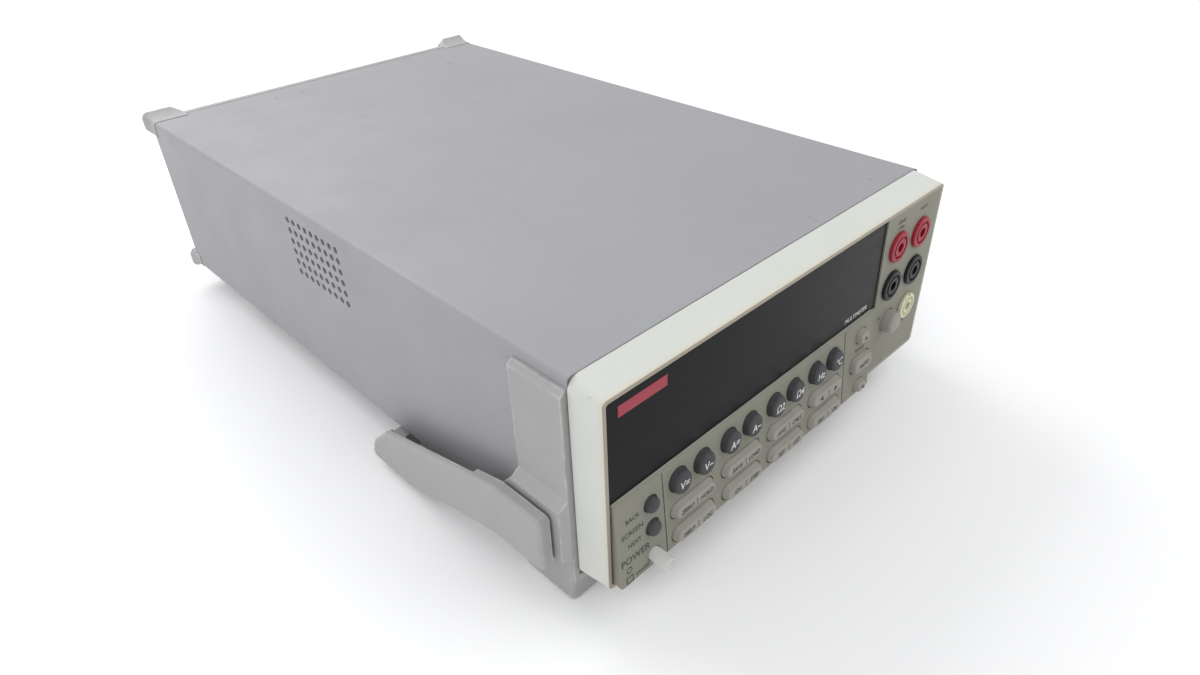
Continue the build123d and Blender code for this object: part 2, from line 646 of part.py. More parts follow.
def handle():
    """One-piece U-shaped handle with a round boss on each arm that turns in its ear."""
    bar = extrude(Plane.YZ.offset(-HANDLE_SIDE_X) * handle_profile(), amount=2 * HANDLE_SIDE_X)
    inside = [(-HANDLE_GAP_X, 0), (-HANDLE_GAP_X, 60.0), (-HANDLE_BAR_X, HANDLE_BAR_FRONT_Y - 4),
              (-HANDLE_BAR_X + 4, HANDLE_BAR_FRONT_Y)]
    plan = inside + [(-x, y) for x, y in reversed(inside)]
    void = Pos(0, 0, -50) * extrude(make_face(Polyline(*plan, close=True)), amount=100)
    above_bar = block((-HANDLE_BAR_X, HANDLE_BAR_X), (HANDLE_BAR_FRONT_Y - 6, 150),
                      (HANDLE_BAR_TOP_Z, 50))
    bar = bar - void - above_bar
    corner_edges = bar.edges().filter_by(lambda edge: abs(abs(edge.center().X) - HANDLE_SIDE_X) < 0.01)
    bar = fillet(corner_edges, 2.0)
    bar -= both_sides(block((-HANDLE_SIDE_X + HANDLE_WALL, -HANDLE_BAR_X), HANDLE_POCKET_Y,
                            (HANDLE_POCKET_FLOOR, 50)))
    pin = tube_x(-HANDLE_GAP_X - 0.5, -PIVOT_PIN_TIP_X, PIVOT_RADIUS)
    return bar + pin + mirrored(pin)


# ---- Rear ------------------------------------------------------------------------------------
def flared_shell():
    """Ring that hugs the sleeve and flares out towards the rear."""
    middle = CASE_HEIGHT / 2
    sections = []
    for y, grow_x, grow_z, corner in ((BUMPER_FRONT, 0.35, 0.35, 2.3), (352.0, 0.7, 1.0, 2.6),
                                      (OVERALL_REAR, BUMPER_FLARE_X, BUMPER_FLARE_Z, 3.6)):
        outline = RectangleRounded(CASE_WIDTH + 2 * grow_x, CASE_HEIGHT + 2 * grow_z, corner)
        sections.append(Plane.XZ.offset(-y) * at(0, middle, outline))
    sleeve = at(0, middle, RectangleRounded(CASE_WIDTH + 0.2, CASE_HEIGHT + 0.2, COVER_CORNER))
    return loft(sections) - slab(sleeve, BUMPER_FRONT - 1, COVER_REAR + 0.6)


def bumper_zone(side, top):
    """Zone that one corner bumper fills, with its ends sloping down to the case."""
    reach = [(-6, -6), (BUMPER_REACH_X - 9, -6), (BUMPER_REACH_X, 0), (BUMPER_REACH_X, BUMPER_REACH_Z),
             (0, BUMPER_REACH_Z), (-6, BUMPER_REACH_Z - 7)]
    corners = [(side * (CASE_SIDE - inward), CASE_HEIGHT - down if top else down)
               for inward, down in reach]
    return slab(at(0, 0, make_face(Polyline(*corners, close=True))), BUMPER_FRONT - 1, OVERALL_REAR + 1)


def rear_bezel():
    """Frame round the back of the case with a flared bumper at each corner."""
    middle = CASE_HEIGHT / 2
    seam = COVER_REAR + 0.6
    edge = RectangleRounded(CASE_WIDTH - 2 * REAR_BEZEL_SIDE_INSET,
                            CASE_HEIGHT - 2 * REAR_BEZEL_TOP_INSET, 3.0)
    frame = slab(at(0, middle, edge), seam, REAR_BEZEL_BACK)
    lip = RectangleRounded(2 * COVER_INSIDE - 0.3, CASE_HEIGHT - 2 * COVER_WALL - 0.3, 1.0)
    frame += slab(at(0, middle, lip), REAR_PANEL_BACK, seam)
    shell = flared_shell()
    for side in (-1, 1):
        for top in (False, True):
            frame += shell & bumper_zone(side, top)
    opening = at(0, middle, RectangleRounded(2 * REAR_OPENING_X, 2 * REAR_OPENING_Z, 3.0))
    return frame - slab(opening, REAR_PANEL_BACK - 1, OVERALL_REAR + 1)


def rear_panel():
    """Sheet-metal panel with a cut-out for each connector."""
    outline = RectangleRounded(2 * COVER_INSIDE - 0.4, CASE_HEIGHT - 2 * COVER_WALL - 0.4, 1.5)
    panel = slab(at(0, CASE_HEIGHT / 2, outline), REAR_PANEL_FRONT, REAR_PANEL_BACK)
    cuts = [at(*MAINS_PLACE, Rectangle(MAINS_BODY_WIDTH, MAINS_BODY_HEIGHT)),
            at(*BUS_PLACE, Rectangle(BUS_SHELL_WIDTH - 1, BUS_SHELL_HEIGHT - 1)),
            at(*SERIAL_PLACE, Rectangle(SERIAL_SHELL_WIDTH - 1, SERIAL_SHELL_HEIGHT - 1)),
            at(*OPTION_PLACE, Rectangle(OPTION_WIDTH - 12, OPTION_HEIGHT - 4))]
    cuts += [at(x, z, Circle(JACK_BODY_RADIUS)) for x, z in rear_jack_places()]
    for cut in cuts:
        panel -= slab(cut, REAR_PANEL_FRONT - 1, REAR_PANEL_BACK + 1)
    return panel


def rear_jack_places():
    """Rear inputs on the same grid as the front ones, top row first."""
    x, z = REAR_JACK_FIRST
    return [(x + column * JACK_SPACING, z - row * JACK_SPACING)
            for row in range(2) for column in range(2)]


def jack_group(row, make):
    """Front and rear jacks, or their contacts, as one group; row 0 is the top row, None is both."""
    picked = slice(None) if row is None else slice(2 * row, 2 * row + 2)
    front = [make(x, z) for x, z in jack_places()[picked]]
    rear = [make(x, z, REAR_PANEL_BACK, 1) for x, z in rear_jack_places()[picked]]
    return Compound(children=front + rear)


def mains_cavity():
    """Recess of the mains inlet, with its two upper corners cut off."""
    x, z = MAINS_PLACE
    z += MAINS_INLET_DROP
    half_w, half_h, cut = 12.2, 8.3, 4.5
    corners = [(-half_w, -half_h), (half_w, -half_h), (half_w, half_h - cut),
               (half_w - cut, half_h), (cut - half_w, half_h), (-half_w, half_h - cut)]
    outline = make_face(Polyline(*corners, close=True))
    return slab(at(x, z, outline), MAINS_FACE - MAINS_INLET_DEPTH, MAINS_FACE + 1)


def mains_inlet():
    """Mains inlet module with a bay for the fuse drawer above the inlet."""
    x, z = MAINS_PLACE
    flange = slab(at(x, z, RectangleRounded(MAINS_BODY_WIDTH + 5, MAINS_BODY_HEIGHT + 5, 2.5)),
                  REAR_PANEL_BACK, MAINS_FACE)
    flange = fillet(flange.faces().sort_by(Axis.Y)[-1].edges(), 0.8)
    body = slab(at(x, z, Rectangle(MAINS_BODY_WIDTH - 0.2, MAINS_BODY_HEIGHT - 0.2)),
                MAINS_FACE - 34, REAR_PANEL_BACK)
    bay = at(x, z + DRAWER_RISE, Rectangle(DRAWER_WIDTH + 2 * SMALL_GAP,
                                           DRAWER_HEIGHT + 2 * SMALL_GAP))
    return flange + body - mains_cavity() - slab(bay, MAINS_FACE - 26, MAINS_FACE + 1)


def inlet_pins():
    """Three flat pins standing in the mains inlet."""
    x, z = MAINS_PLACE
    z += MAINS_INLET_DROP
    pins = []
    for offset_x, offset_z in ((-7.0, -1.5), (7.0, -1.5), (0.0, 2.5)):
        pins.append(block((x + offset_x - 1.0, x + offset_x + 1.0),
                          (MAINS_FACE - MAINS_INLET_DEPTH, MAINS_FACE - 3),
                          (z + offset_z - 2.0, z + offset_z + 2.0)))
    return Compound(children=pins)


def fuse_drawer():
    """Drawer with two line fuses side by side, and a grip lip on its face."""
    x, z = MAINS_PLACE
    z += DRAWER_RISE
    drawer = slab(at(x, z, Rectangle(DRAWER_WIDTH, DRAWER_HEIGHT)), MAINS_FACE - 25, MAINS_FACE)
    face = slab(at(x, z, RectangleRounded(DRAWER_WIDTH, DRAWER_HEIGHT, 1.2)),
                MAINS_FACE, MAINS_FACE + 1.6)
    drawer += fillet(face.faces().sort_by(Axis.Y)[-1].edges(), 0.6)
    for side in (-1, 1):
        trough_x = x + side * 6.0
        drawer -= block((trough_x - 3.0, trough_x + 3.0), (MAINS_FACE - 24, MAINS_FACE - 2),
                        (z - 2.8, z + DRAWER_HEIGHT))
    drawer -= block((x - 4, x + 4), (MAINS_FACE + 0.6, MAINS_FACE + 2),
                    (z - DRAWER_HEIGHT / 2 + 1, z - DRAWER_HEIGHT / 2 + 2.5))
    return drawer


def line_fuses():
    """Working and spare fuse lying in the drawer."""
    x, z = MAINS_PLACE
    return Compound(children=[tube(x + side * 6.0, z + DRAWER_RISE, MAINS_FACE - 23,
                                   MAINS_FACE - 3, 2.6) for side in (-1, 1)])


def bus_connector():
    """Instrument bus socket: D-shaped shell, contact tongue and two threaded posts."""
    x, z = BUS_PLACE
    face = REAR_PANEL_BACK
    flange = slab(at(x, z, RectangleRounded(BUS_SHELL_WIDTH + 20, BUS_SHELL_HEIGHT + 3, 2.0)),
                  face, face + 1.6)
    shell = slab(at(x, z, RectangleRounded(BUS_SHELL_WIDTH, BUS_SHELL_HEIGHT, 3.0)),
                 face + 1.6, face + 9.0)
    hollow = slab(at(x, z, RectangleRounded(BUS_SHELL_WIDTH - 3, BUS_SHELL_HEIGHT - 3, 2.0)),
                  face + 1.6, face + 10.0)
    tongue = slab(at(x, z, Rectangle(BUS_SHELL_WIDTH - 10, 3.6)), face + 1.6, face + 7.5)
    socket = flange + (shell - hollow) + tongue
    for side in (-1, 1):
        post = slab(at(x + side * (BUS_SHELL_WIDTH / 2 + 6), z, RegularPolygon(3.6, 6)),
                    face + 1.6, face + 9.0)
        socket += post - tube(x + side * (BUS_SHELL_WIDTH / 2 + 6), z, face + 3, face + 12, 1.6)
    return socket


def serial_connector():
    """Nine-way serial socket with jack screws."""
    x, z = SERIAL_PLACE
    face = REAR_PANEL_BACK
    flange = slab(at(x, z, RectangleRounded(30.8, 12.5, 1.5)), face, face + 1.2)
    half_w, half_h, lean = SERIAL_SHELL_WIDTH / 2, SERIAL_SHELL_HEIGHT / 2, 1.2
    corners = [(-half_w + lean, -half_h), (half_w - lean, -half_h), (half_w, half_h),
               (-half_w, half_h)]
    outline = make_face(FilletPolyline(*corners, radius=1.6, close=True))
    shell = slab(at(x, z, outline), face + 1.2, face + 7.0)
    gap = offset(outline, -0.5) - offset(outline, -1.5)
    socket = flange + shell - slab(at(x, z, gap), face + 2.2, face + 8.0)
    for side in (-1, 1):
        post = slab(at(x + side * 12.5, z, RegularPolygon(2.7, 6)), face + 1.2, face + 6.0)
        socket += post - tube(x + side * 12.5, z, face + 2, face + 8, 1.3)
    return socket - contact_holes(x, z, face + 3.0)


def contact_holes(x, z, front):
    """Nine contact holes in two rows in the serial socket's insulator."""
    pitch, row_gap = 2.77, 2.84
    places = [(x + (index - 2) * pitch, z + row_gap / 2) for index in range(5)]
    places += [(x + (index - 1.5) * pitch, z - row_gap / 2) for index in range(4)]
    return [tube(px, pz, front, front + 8, 0.55) for px, pz in places]


def option_cover():
    """Blank plate over the option card slot."""
    x, z = OPTION_PLACE
    plate = slab(at(x, z, RectangleRounded(OPTION_WIDTH, OPTION_HEIGHT, 1.5)),
                 REAR_PANEL_BACK, REAR_PANEL_BACK + 1.2)
    return fillet(plate.faces().sort_by(Axis.Y)[-1].edges(), 0.4)


def pan_screw(x, z, seat):
    """Pan-head screw facing the rear, with a cross recess."""
    head = fillet(tube(x, z, seat, seat + 2.0, 3.0).edges().sort_by(Axis.Y)[-1], 1.0)
    for width, height in ((3.4, 0.8), (0.8, 3.4)):
        head -= slab(at(x, z, Rectangle(width, height)), seat + 1.0, seat + 3.0)
    return head


def rear_screws():
    """Screws of the option cover and the mains inlet."""
    option_x, option_z = OPTION_PLACE
    mains_x, mains_z = MAINS_PLACE
    seat = REAR_PANEL_BACK + 1.2
    reach = OPTION_WIDTH / 2 - 4.5
    screws = [pan_screw(option_x + side * reach, option_z, seat) for side in (-1, 1)]
    screws += [pan_screw(mains_x + side * 19.0, mains_z - 2.0, MAINS_FACE) for side in (-1, 1)]
    return Compound(children=screws)


# ---- Inside ----------------------------------------------------------------------------------
def main_board():
    """Large circuit board that lies on the chassis."""
    return block(BOARD_X, BOARD_Y, (MAIN_BOARD_LOW, MAIN_BOARD_LOW + BOARD_THICKNESS))


def transformer_core():
    """Laminated core, standing on the chassis with its windows facing the sides."""
    x, y, z = TRANSFORMER_PLACE
    length, height, stack = TRANSFORMER_SIZE
    core = block((x - stack / 2, x + stack / 2), (y - length / 2, y + length / 2),
                 (z, z + height))
    leg = length / 6
    for side in (-1, 1):
        window = sorted((y + side * leg, y + side * 2 * leg))
        core -= block((x - stack, x + stack), window, (z + leg, z + height - leg))
    return core


def transformer_winding():
    """Wound bobbin round the middle leg of the core."""
    x, y, z = TRANSFORMER_PLACE
    length, height, stack = TRANSFORMER_SIZE
    leg = length / 6
    low, high = z + leg + 0.3, z + height - leg - 0.3
    reach = 2 * leg - 0.3
    coil = Pos(x, y, (low + high) / 2) * Box(stack + 12, 2 * reach, high - low)
    coil = fillet(coil.edges().filter_by(Axis.Z), 4.0)
    return coil - block((x - stack / 2 - 0.1, x + stack / 2 + 0.1), (y - leg - 0.1, y + leg + 0.1),
                        (low - 1, high + 1))


def on_board(x_range, y_range, height):
    """A component standing on the main board."""
    top = MAIN_BOARD_LOW + BOARD_THICKNESS
    return block(x_range, y_range, (top, top + height))


def filter_capacitors():
    """Supply capacitors."""
    low, height = MAIN_BOARD_LOW + BOARD_THICKNESS, 30.0
    return Compound(children=[Pos(-26, 212 + 19 * index, low + height / 2) * Cylinder(8.0, height)
                              for index in range(3)])


# ---- Assembly --------------------------------------------------------------------------------
def build_nodes():
    """Every piece of the meter by name."""
    nodes = {
        "case_cover": case_cover(),
        "chassis": chassis(),
        "front_bezel": front_bezel(),
        "key_panel": key_panel(),
        "input_panel": input_panel(),
        "display_window": display_window(),
        "display_tube": display_tube(),
        "display_board": display_board(),
        "switch_pad": switch_pad(),
        "power_button": power_button(),
        "power_rod": power_rod(),
        "power_switch": power_switch(),
        "inputs_button": inputs_button(),
        "inputs_switch": inputs_switch(),
        "current_jack": current_jack(),
        "current_contact": current_contact(),
        "current_fuse": current_fuse(),
        "left_ear": left_ear(),
        "right_ear": mirrored(left_ear()),
        "handle": handle(),
        "rear_feet": rear_feet(),
        "foot_pads": foot_pads(),
        "rear_bezel": rear_bezel(),
        "rear_panel": rear_panel(),
        "mains_inlet": mains_inlet(),
        "inlet_pins": inlet_pins(),
        "fuse_drawer": fuse_drawer(),
        "line_fuses": line_fuses(),
        "bus_connector": bus_connector(),
        "serial_connector": serial_connector(),
        "option_cover": option_cover(),
        "rear_screws": rear_screws(),
        "main_board": main_board(),
        "transformer_core": transformer_core(),
        "transformer_winding": transformer_winding(),
        "filter_capacitors": filter_capacitors(),
    }
    for name, x in zip(FUNCTION_KEY_NAMES, function_key_places()):
        nodes[f"key_{name}"] = function_key(x)
    for index, (x, z) in enumerate(rocker_places()):
        row = "upper" if index < 4 else "lower"
        nodes[f"rocker_{row}_{index % 4 + 1}"] = rocker_key(x, z)
    for name, (z, width, height) in zip(("up", "auto", "down"), range_key_sizes()):
        nodes[f"key_range_{name}"] = range_key(z, width, height)
    for name, z in zip(("upper", "lower"), SIDE_KEYS_Z):
        nodes[f"key_side_{name}"] = side_key(z)
    nodes["jacks_red"] = jack_group(0, jack_body)
    nodes["jacks_black"] = jack_group(1, jack_body)
    nodes["jack_contacts"] = jack_group(None, jack_contact)
    return nodes


def main():
    """Write one file for each piece."""
    os.makedirs("parts", exist_ok=True)
    for name, solid in build_nodes().items():
        export_step(PLACE * solid, f"parts/{name}.step")


if __name__ == "__main__":
    main()
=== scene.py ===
"""Looks of the bench multimeter: camera, light, materials and finely modelled keys and legends."""
import json
import math
import bmesh
import bpy
from mathutils import Euler, Matrix, Vector


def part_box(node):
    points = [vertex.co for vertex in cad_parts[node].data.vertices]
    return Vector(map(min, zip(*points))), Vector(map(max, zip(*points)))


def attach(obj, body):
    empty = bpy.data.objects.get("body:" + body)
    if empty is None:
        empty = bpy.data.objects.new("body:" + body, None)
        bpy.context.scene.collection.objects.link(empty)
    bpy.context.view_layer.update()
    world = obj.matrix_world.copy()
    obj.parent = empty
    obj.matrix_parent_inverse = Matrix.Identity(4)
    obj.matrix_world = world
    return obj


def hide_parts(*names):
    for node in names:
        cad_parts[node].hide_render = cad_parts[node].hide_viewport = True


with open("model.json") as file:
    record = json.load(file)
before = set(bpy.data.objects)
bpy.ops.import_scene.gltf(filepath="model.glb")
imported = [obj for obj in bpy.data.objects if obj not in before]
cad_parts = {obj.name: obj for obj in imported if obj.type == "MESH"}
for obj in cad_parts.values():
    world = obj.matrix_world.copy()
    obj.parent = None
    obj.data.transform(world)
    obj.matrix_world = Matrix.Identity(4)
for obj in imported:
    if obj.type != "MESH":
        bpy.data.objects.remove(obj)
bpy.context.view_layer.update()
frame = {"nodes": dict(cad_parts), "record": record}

MM = 0.001

# The drawing frame, in millimetres: x from the middle, y back from the bezel's front edge, and
# z up from the underside of the case.
ORIGIN = Vector((0.0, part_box("front_bezel")[0].y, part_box("case_cover")[0].z))


def spot(x, y, z):
    """A point of the drawing frame, in metres in the row frame."""
    return Vector((x, y, z)) * MM + ORIGIN


def box_mm(node):
    """A CAD node's lowest and highest corners in the drawing frame."""
    low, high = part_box(node)
    return (low - ORIGIN) / MM, (high - ORIGIN) / MM


# ---- Camera, floor and light -------------------------------------------------------------------
def add_camera():
    """Camera at the photograph's viewing angle."""
    data = bpy.data.cameras.new("camera")
    data.sensor_width = 36.0
    data.lens = 24.37
    data.shift_x = -0.0071
    data.shift_y = -0.0039
    data.clip_start = 0.01
    camera = bpy.data.objects.new("camera", data)
    turn = Euler([math.radians(angle) for angle in (55.84, 1.52, -44.86)])
    camera.matrix_world = Matrix.Translation(spot(-231.1, -134.4, 236.0)) @ turn.to_matrix().to_4x4()
    bpy.context.scene.collection.objects.link(camera)
    bpy.context.scene.camera = camera


def set_look():
    """Plain colour reproduction, so that pale surfaces stay pale."""
    bpy.context.scene.view_settings.view_transform = "Standard"


def add_floor():
    """Plain pale floor under the meter."""
    mesh = bpy.data.meshes.new("floor")
    reach = 6.0
    corners = [(-reach, -reach, 0), (reach, -reach, 0), (reach, reach, 0), (-reach, reach, 0)]
    mesh.from_pydata(corners, [], [(0, 1, 2, 3)])
    floor = bpy.data.objects.new("floor", mesh)
    bpy.context.scene.collection.objects.link(floor)
    floor.data.materials.append(Paint("floor_paint").finish((0.97, 0.97, 0.97), 0.95, specular=0.0))


def add_area(name, place, size, power, target=(0.0, 0.0, 0.05)):
    """Soft area light that looks at the meter."""
    data = bpy.data.lights.new(name, "AREA")
    data.shape = "RECTANGLE"
    data.size, data.size_y = size
    data.energy = power
    light = bpy.data.objects.new(name, data)
    light.location = place
    look = Vector(target) - Vector(place)
    light.rotation_euler = look.to_track_quat("-Z", "Y").to_euler()
    bpy.context.scene.collection.objects.link(light)


def add_light():
    """Even studio light from all round, stronger from above and behind."""
    world = bpy.data.worlds.new("studio")
    bpy.context.scene.world = world
    world.use_nodes = True
    world.node_tree.nodes["Background"].inputs["Color"].default_value = (0.97, 0.98, 1.0, 1.0)
    world.node_tree.nodes["Background"].inputs["Strength"].default_value = 0.66
    add_area("key_light", (-1.5, -0.2, 1.4), (1.4, 1.0), 8)
    add_area("back_light", (-0.1, 1.0, 0.95), (1.1, 0.7), 9, (0.0, 0.1, 0.1))
    add_area("floor_fill", (1.3, -1.2, 1.6), (1.8, 1.8), 16, (0.6, -0.6, 0.0))


# ---- Materials ---------------------------------------------------------------------------------
class Paint:
    """Builds a procedural material step by step on the object's own coordinates."""

    def __init__(self, name):
        self.material = bpy.data.materials.new(name)
        self.material.use_nodes = True
        self.tree = self.material.node_tree
        self.shader = self.tree.nodes["Principled BSDF"]
        self.where = self.node("ShaderNodeTexCoord").outputs["Object"]
        self.colour = None
        self.heights = []

    def node(self, kind, **values):
        made = self.tree.nodes.new(kind)
        for key, value in values.items():
            setattr(made, key, value)
        return made

    def link(self, source, target):
        self.tree.links.new(source, target)

    def noise(self, scale, detail=3.0, stretch=(1, 1, 1), roughness=0.55):
        """Noise value from 0 to 1; scale is in features per metre."""
        mapping = self.node("ShaderNodeMapping")
        mapping.inputs["Scale"].default_value = stretch
        self.link(self.where, mapping.inputs["Vector"])
        texture = self.node("ShaderNodeTexNoise")
        texture.inputs["Scale"].default_value = scale
        texture.inputs["Detail"].default_value = detail
        texture.inputs["Roughness"].default_value = roughness
        self.link(mapping.outputs["Vector"], texture.inputs["Vector"])
        return texture.outputs["Fac"]

    def band(self, value, low, high, to_low=0.0, to_high=1.0):
        """Maps value from low..high to to_low..to_high, clamped."""
        ramp = self.node("ShaderNodeMapRange")
        ramp.inputs["From Min"].default_value = low
        ramp.inputs["From Max"].default_value = high
        ramp.inputs["To Min"].default_value = to_low
        ramp.inputs["To Max"].default_value = to_high
        self.link(value, ramp.inputs["Value"])
        return ramp.outputs["Result"]

    def times(self, first, second):
        maths = self.node("ShaderNodeMath", operation="MULTIPLY")
        self.link(first, maths.inputs[0])
        if isinstance(second, (int, float)):
            maths.inputs[1].default_value = second
        else:
            self.link(second, maths.inputs[1])
        return maths.outputs[0]

    def axis(self, index):
        """The x, y or z coordinate in metres."""
        split = self.node("ShaderNodeSeparateXYZ")
        self.link(self.where, split.inputs[0])
        return split.outputs[index]

    def edges(self, width_mm, sharpness=0.12):
        """1 on convex and concave edges, falling to 0 on flat stretches."""
        bevel = self.node("ShaderNodeBevel", samples=6)
        bevel.inputs["Radius"].default_value = width_mm * MM
        geometry = self.node("ShaderNodeNewGeometry")
        dot = self.node("ShaderNodeVectorMath", operation="DOT_PRODUCT")
        self.link(bevel.outputs["Normal"], dot.inputs[0])
        self.link(geometry.outputs["Normal"], dot.inputs[1])
        return self.band(dot.outputs["Value"], 1.0 - sharpness, 0.999, 1.0, 0.0)

    def painted_seam_shade(self, edge, inward_mm):
        """1 in a narrow strip along a front or back edge: painted shade in the seam between parts."""
        near, far = edge + inward_mm * 0.2 * MM, edge + inward_mm * MM
        strip = self.band(self.axis(1), far, near)
        return self.times(strip, self.band(self.noise(70, 3), 0.25, 0.5, 0.55, 1.0))

    def base(self, colour):
        rgb = self.node("ShaderNodeRGB")
        rgb.outputs[0].default_value = (*colour, 1.0)
        self.colour = rgb.outputs[0]
        return self

    def tint(self, mask, colour, strength=1.0):
        """Blends a colour over what is there, where mask is 1."""
        mix = self.node("ShaderNodeMix", data_type="RGBA")
        amount = self.times(mask, strength)
        self.link(amount, mix.inputs["Factor"])
        self.link(self.colour, mix.inputs["A"])
        mix.inputs["B"].default_value = (*colour, 1.0)
        self.colour = mix.outputs["Result"]
        return self

    def bump(self, height, distance_mm, strength=1.0):
        node = self.node("ShaderNodeBump")
        node.inputs["Strength"].default_value = strength
        node.inputs["Distance"].default_value = distance_mm * MM
        self.link(height, node.inputs["Height"])
        if self.heights:
            self.link(self.heights[-1], node.inputs["Normal"])
        self.heights.append(node.outputs["Normal"])
        return self

    def finish(self, colour=None, roughness=0.5, metallic=0.0, rough_value=None, specular=0.5):
        """Joins everything to the shader and returns the material."""
        if colour is not None and self.colour is None:
            self.shader.inputs["Base Color"].default_value = (*colour, 1.0)
        if self.colour is not None:
            self.link(self.colour, self.shader.inputs["Base Color"])
        if self.heights:
            self.link(self.heights[-1], self.shader.inputs["Normal"])
        self.shader.inputs["Roughness"].default_value = roughness
        if rough_value is not None:
            self.link(rough_value, self.shader.inputs["Roughness"])
        self.shader.inputs["Metallic"].default_value = metallic
        self.shader.inputs["Specular IOR Level"].default_value = specular
        return self.material


def moulded(name, colour, roughness=0.55, grain=0.02, vary=0.06, grain_scale=2600, edge=None,
            edge_strength=0.5, specular=0.5, edge_width=0.7):
    """Moulded plastic: fine grain, faint clouding, handling marks and a tint along the edges, which on
    most plastics is a lighter painted highlight with some wear, and on the cream plastic is darker.
    """
    paint = Paint(name).base(colour)
    cloud = paint.noise(14, 4)
    paint.tint(paint.band(cloud, 0.35, 0.75), [c * (1 - 2 * vary) for c in colour], 0.8)
    smudge = paint.noise(55, 5, roughness=0.7)
    paint.tint(paint.band(smudge, 0.60, 0.78), [c * (1 - 3 * vary) for c in colour], 0.5)
    # Tint along convex and concave edges: where the edge colour is lighter than the base, it is a
    # painted highlight on the rounded edges, with some wear.
    if edge is not None:
        broken = paint.band(paint.noise(160, 4), 0.38, 0.62)
        paint.tint(paint.times(paint.edges(edge_width, 0.06), broken), edge, edge_strength)
    paint.bump(paint.noise(grain_scale, 2), grain)
    shine = paint.band(paint.noise(90, 4), 0.3, 0.7, roughness - 0.06, roughness + 0.08)
    return paint.finish(rough_value=shine, specular=specular)


def painted_case():
    """Case paint: matt grey-lavender with a fine grain, faint smears, a few dark specks and painted
    shade along the seams at its front and back edges.
    """
    colour = (0.335, 0.335, 0.352)
    paint = Paint("case_paint").base(colour)
    cloud = paint.noise(6, 4)
    paint.tint(paint.band(cloud, 0.35, 0.72), (0.305, 0.305, 0.312), 0.9)
    smear = paint.noise(30, 6, stretch=(1.0, 0.35, 1.0), roughness=0.7)
    paint.tint(paint.band(smear, 0.58, 0.80), (0.30, 0.295, 0.29), 0.45)
    # Painted shade: a near-black strip along the cover's front and back edges, standing for the shadow
    # in the seams with the bezels.
    for edge, inward in ((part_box("case_cover")[0].y, 0.8), (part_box("case_cover")[1].y, -0.7)):
        paint.tint(paint.painted_seam_shade(edge, inward), (0.05, 0.05, 0.05), 0.85)
    scuff = paint.noise(120, 3, stretch=(1.0, 0.45, 1.0), roughness=0.6)
    where = paint.band(paint.noise(7, 2), 0.52, 0.60)
    paint.tint(paint.times(paint.band(scuff, 0.66, 0.74), where), (0.22, 0.22, 0.22), 0.6)
    paint.bump(paint.noise(1500, 3), 0.05, 0.7)
    paint.bump(paint.noise(9, 2), 0.4, 0.25)
    shine = paint.band(paint.noise(40, 5), 0.3, 0.7, 0.50, 0.66)
    return paint.finish(rough_value=shine, specular=0.45)


def bezel_paint():
    """Off-white bezel: yellowed towards its front rim, darker brown on the rim's front face, with
    scuffs and hairline scratches.
    """
    colour = (0.64, 0.65, 0.61)
    paint = Paint("bezel_plastic").base(colour)
    cloud = paint.noise(18, 4)
    paint.tint(paint.band(cloud, 0.35, 0.75), (0.60, 0.62, 0.55), 0.7)
    # Painted shade along the bezel's back edge, in the seam with the cover.
    paint.tint(paint.painted_seam_shade(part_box("front_bezel")[1].y, -0.6), (0.10, 0.09, 0.08), 0.5)
    near_front = paint.band(paint.axis(1), ORIGIN.y + 2.2 * MM, ORIGIN.y - 0.1 * MM)
    paint.tint(near_front, (0.62, 0.56, 0.40), 0.6)
    # Darker brown on the front face of the rim.
    rim = paint.band(paint.axis(1), ORIGIN.y + 0.35 * MM, ORIGIN.y + 0.02 * MM)
    paint.tint(rim, (0.27, 0.22, 0.17), 0.8)
    scratch = paint.noise(420, 2, stretch=(0.06, 1.0, 1.0))
    where = paint.band(paint.noise(24, 3), 0.50, 0.62)
    paint.tint(paint.times(paint.band(scratch, 0.70, 0.74), where), (0.36, 0.35, 0.31), 0.6)
    grime = paint.noise(75, 6, roughness=0.75)
    paint.tint(paint.band(grime, 0.62, 0.80), (0.45, 0.44, 0.38), 0.4)
    broken = paint.band(paint.noise(130, 4), 0.50, 0.66)
    paint.tint(paint.times(paint.edges(0.6), broken), (0.40, 0.36, 0.28), 0.5)
    paint.bump(paint.noise(2200, 2), 0.02, 0.7)
    shine = paint.band(paint.noise(60, 4), 0.3, 0.7, 0.40, 0.55)
    return paint.finish(rough_value=shine)


def window_acrylic():
    """Smoked acrylic: nearly black, semi-gloss, with dust and fine wipe marks."""
    paint = Paint("smoked_window").base((0.007, 0.0072, 0.008))
    dust = paint.noise(900, 2)
    paint.tint(paint.band(dust, 0.70, 0.80), (0.05, 0.05, 0.05), 0.25)
    wipe = paint.noise(120, 5, stretch=(0.25, 1, 1.6), roughness=0.7)
    paint.tint(paint.band(wipe, 0.5, 0.8), (0.013, 0.013, 0.014), 0.4)
    shine = paint.band(wipe, 0.3, 0.75, 0.26, 0.36)
    return paint.finish(rough_value=shine, specular=0.10)


def sheet_metal(name, colour, roughness=0.38, brushed=(1, 40, 1)):
    """Plated or bare sheet metal with a rolled grain."""
    paint = Paint(name).base(colour)
    stain = paint.noise(35, 5, roughness=0.7)
    paint.tint(paint.band(stain, 0.45, 0.8), [c * 0.72 for c in colour], 0.6)
    grain = paint.noise(90, 3, stretch=brushed)
    paint.bump(grain, 0.02, 0.5)
    shine = paint.band(grain, 0.3, 0.7, roughness - 0.08, roughness + 0.12)
    return paint.finish(rough_value=shine, metallic=0.9)


def rubber(name, colour):
    """Matt rubber with a dusty bloom."""
    paint = Paint(name).base(colour)
    bloom = paint.noise(140, 5, roughness=0.7)
    paint.tint(paint.band(bloom, 0.5, 0.8), [min(1, c * 2.2) for c in colour], 0.5)
    paint.bump(paint.noise(1800, 2), 0.04, 0.8)
    return paint.finish(rough_value=paint.band(bloom, 0.3, 0.7, 0.72, 0.92), specular=0.3)


